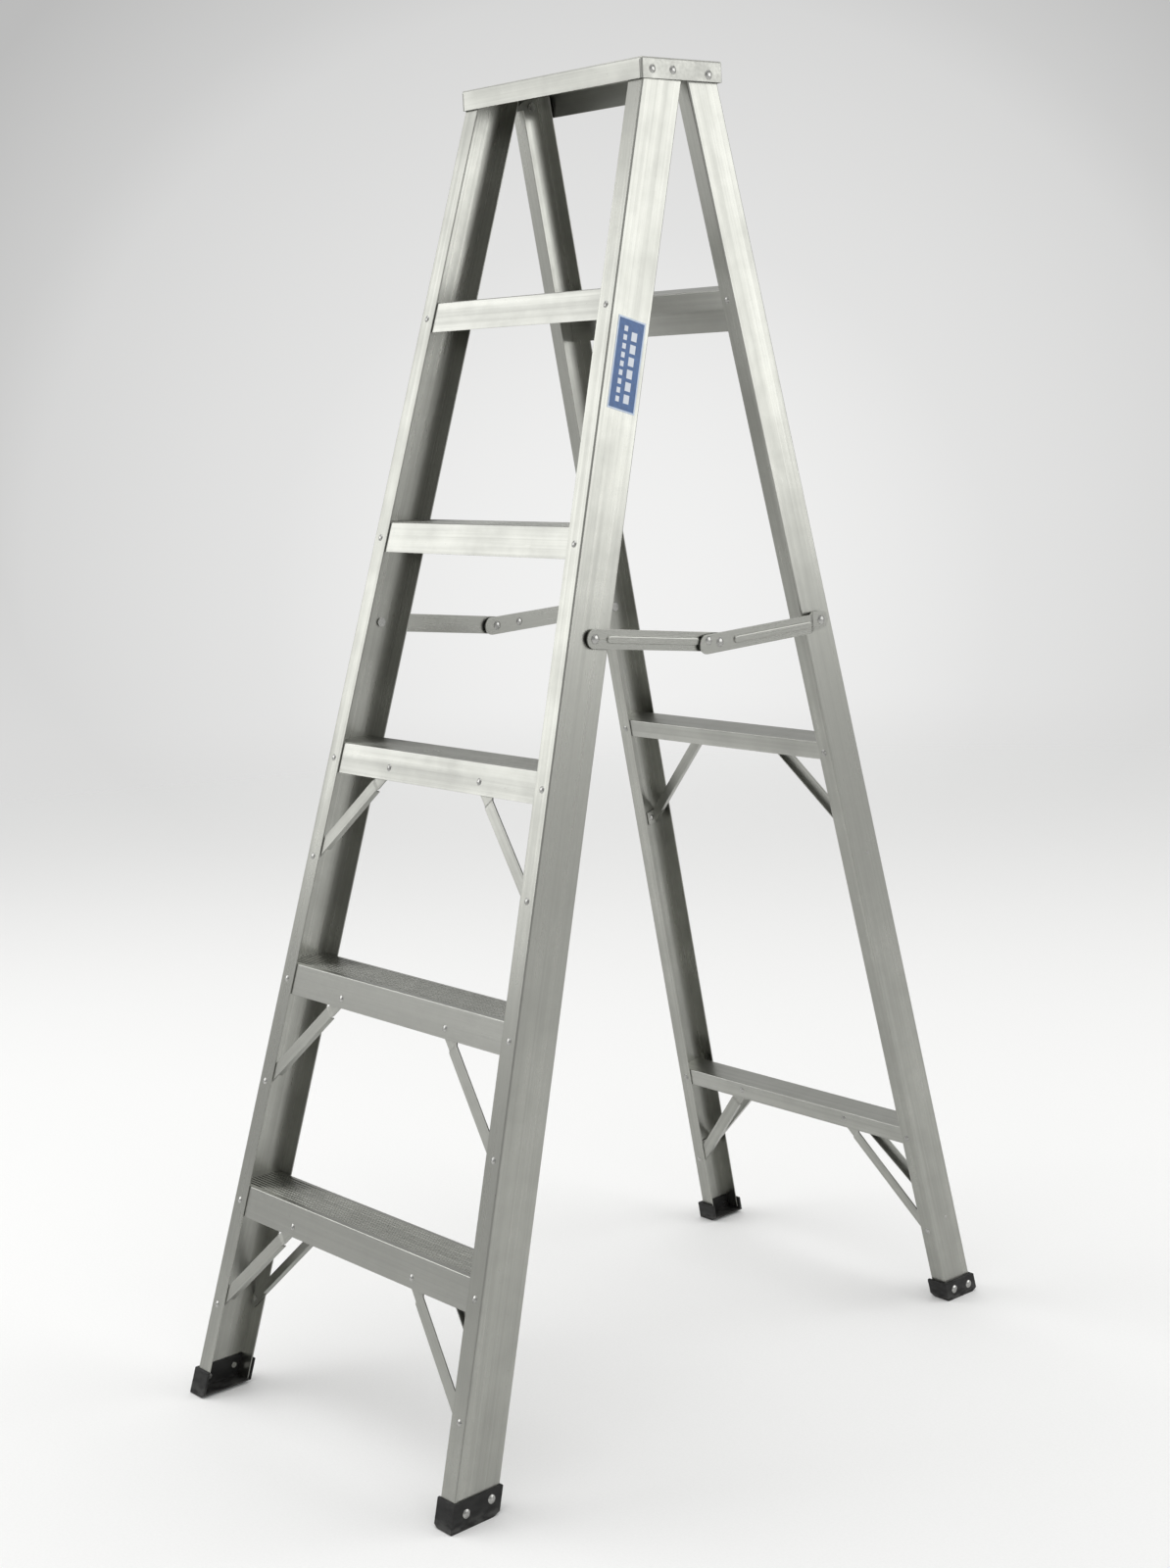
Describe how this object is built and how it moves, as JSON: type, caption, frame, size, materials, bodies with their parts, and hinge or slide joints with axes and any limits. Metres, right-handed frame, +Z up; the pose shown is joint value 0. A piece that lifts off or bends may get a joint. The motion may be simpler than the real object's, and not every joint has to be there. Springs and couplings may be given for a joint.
{
  "type": "step ladder",
  "caption": "Folding aluminium step ladder with an A-frame, ribbed treads, flat top cap, diagonal braces, hinged spreaders and black moulded shoes.",
  "frame": {"origin": "on the floor, under the centre of the open ladder's bounding box", "axes": "+Z up, +Y from the climbing side towards the rear legs, +X to the climber's right"},
  "size_m": [0.578, 0.987, 1.735],
  "materials": {
    "rail_aluminium": "mill finish, drawn along the length",
    "tread_aluminium": "mill finish with ribbed top",
    "cap_aluminium": "mill finish sheet",
    "bar_aluminium": "mill finish sheet",
    "brace_aluminium": "mill finish strip",
    "link_aluminium": "pressed strip, satin",
    "rivet_aluminium": "formed rivet head, satin",
    "spacer_black": "moulded washer",
    "shoe_black": "moulded, fine grain",
    "label_blue": "printed film"
  },
  "bodies": {
    "front_section": {"cap_rivets": "rivet_aluminium", "fold_pivot_left": "rivet_aluminium", "fold_pivot_right": "rivet_aluminium", "fold_spacers": "spacer_black", "front_brace_rivets": "rivet_aluminium", "front_rail_left": "rail_aluminium", "front_rail_right": "rail_aluminium", "front_shoe_left": "shoe_black", "front_shoe_right": "shoe_black", "front_shoe_rivets": "rivet_aluminium", "label": "label_blue", "spreader_front_pivot_left": "rivet_aluminium", "spreader_front_pivot_right": "rivet_aluminium", "spreader_front_spacers": "spacer_black", "top_cap": "cap_aluminium", "tread_1": "tread_aluminium", "tread_2": "tread_aluminium", "tread_3": "tread_aluminium", "tread_3_brace_left": "brace_aluminium", "tread_3_brace_right": "brace_aluminium", "tread_4": "tread_aluminium", "tread_4_brace_left": "brace_aluminium", "tread_4_brace_right": "brace_aluminium", "tread_5": "tread_aluminium", "tread_5_brace_left": "brace_aluminium", "tread_5_brace_right": "brace_aluminium", "tread_5_rear_brace_left": "brace_aluminium", "tread_5_rear_brace_right": "brace_aluminium", "tread_rivets": "rivet_aluminium"},
    "rear_section": {"bottom_bar_brace_left": "brace_aluminium", "bottom_bar_brace_right": "brace_aluminium", "bottom_bar_rear_brace_left": "brace_aluminium", "bottom_bar_rear_brace_right": "brace_aluminium", "middle_bar_brace_left": "brace_aluminium", "middle_bar_brace_right": "brace_aluminium", "rear_bar_bottom": "bar_aluminium", "rear_bar_middle": "bar_aluminium", "rear_bar_rivets": "rivet_aluminium", "rear_bar_top": "bar_aluminium", "rear_brace_rivets": "rivet_aluminium", "rear_rail_left": "rail_aluminium", "rear_rail_right": "rail_aluminium", "rear_shoe_left": "shoe_black", "rear_shoe_right": "shoe_black", "rear_shoe_rivets": "rivet_aluminium", "spreader_rear_pivot_left": "rivet_aluminium", "spreader_rear_pivot_right": "rivet_aluminium", "spreader_rear_spacers": "spacer_black"},
    "spreader_front_left": {"spreader_front_link_left": "link_aluminium", "spreader_mid_pin_outer_left": "rivet_aluminium"},
    "spreader_front_right": {"spreader_front_link_right": "link_aluminium", "spreader_mid_pin_inner_right": "rivet_aluminium"},
    "spreader_rear_left": {"spreader_mid_pin_inner_left": "rivet_aluminium", "spreader_rear_link_left": "link_aluminium", "spreader_stop_stud_left": "rivet_aluminium"},
    "spreader_rear_right": {"spreader_mid_pin_outer_right": "rivet_aluminium", "spreader_rear_link_right": "link_aluminium", "spreader_stop_stud_right": "rivet_aluminium"}
  },
  "joints": [
    {"name": "rear_section_fold", "type": "hinge", "parent": "front_section", "child": "rear_section", "pos_m": [0, 0.12009, 1.717], "axis": [-1, 0, 0], "range_deg": [0, 27.83]},
    {"name": "spreader_front_left_swing", "type": "hinge", "parent": "front_section", "child": "spreader_front_left", "pos_m": [0, -0.15454, 1.01752], "axis": [1, 0, 0], "range_deg": [0, 86.5]},
    {"name": "spreader_rear_left_swing", "type": "hinge", "parent": "rear_section", "child": "spreader_rear_left", "pos_m": [0, 0.26247, 0.99902], "axis": [-1, 0, 0], "range_deg": [0, 57]},
    {"name": "spreader_front_right_swing", "type": "hinge", "parent": "front_section", "child": "spreader_front_right", "pos_m": [0, -0.15454, 1.01752], "axis": [1, 0, 0], "range_deg": [0, 86.5]},
    {"name": "spreader_rear_right_swing", "type": "hinge", "parent": "rear_section", "child": "spreader_rear_right", "pos_m": [0, 0.26247, 0.99902], "axis": [-1, 0, 0], "range_deg": [0, 57]}
  ],
  "couplings": [
    {"joint": "spreader_front_left_swing", "follows": "rear_section_fold", "ratio": 3.1041},
    {"joint": "spreader_rear_left_swing", "follows": "rear_section_fold", "ratio": 2.0429},
    {"joint": "spreader_front_right_swing", "follows": "rear_section_fold", "ratio": 3.1041},
    {"joint": "spreader_rear_right_swing", "follows": "rear_section_fold", "ratio": 2.0429}
  ]
}
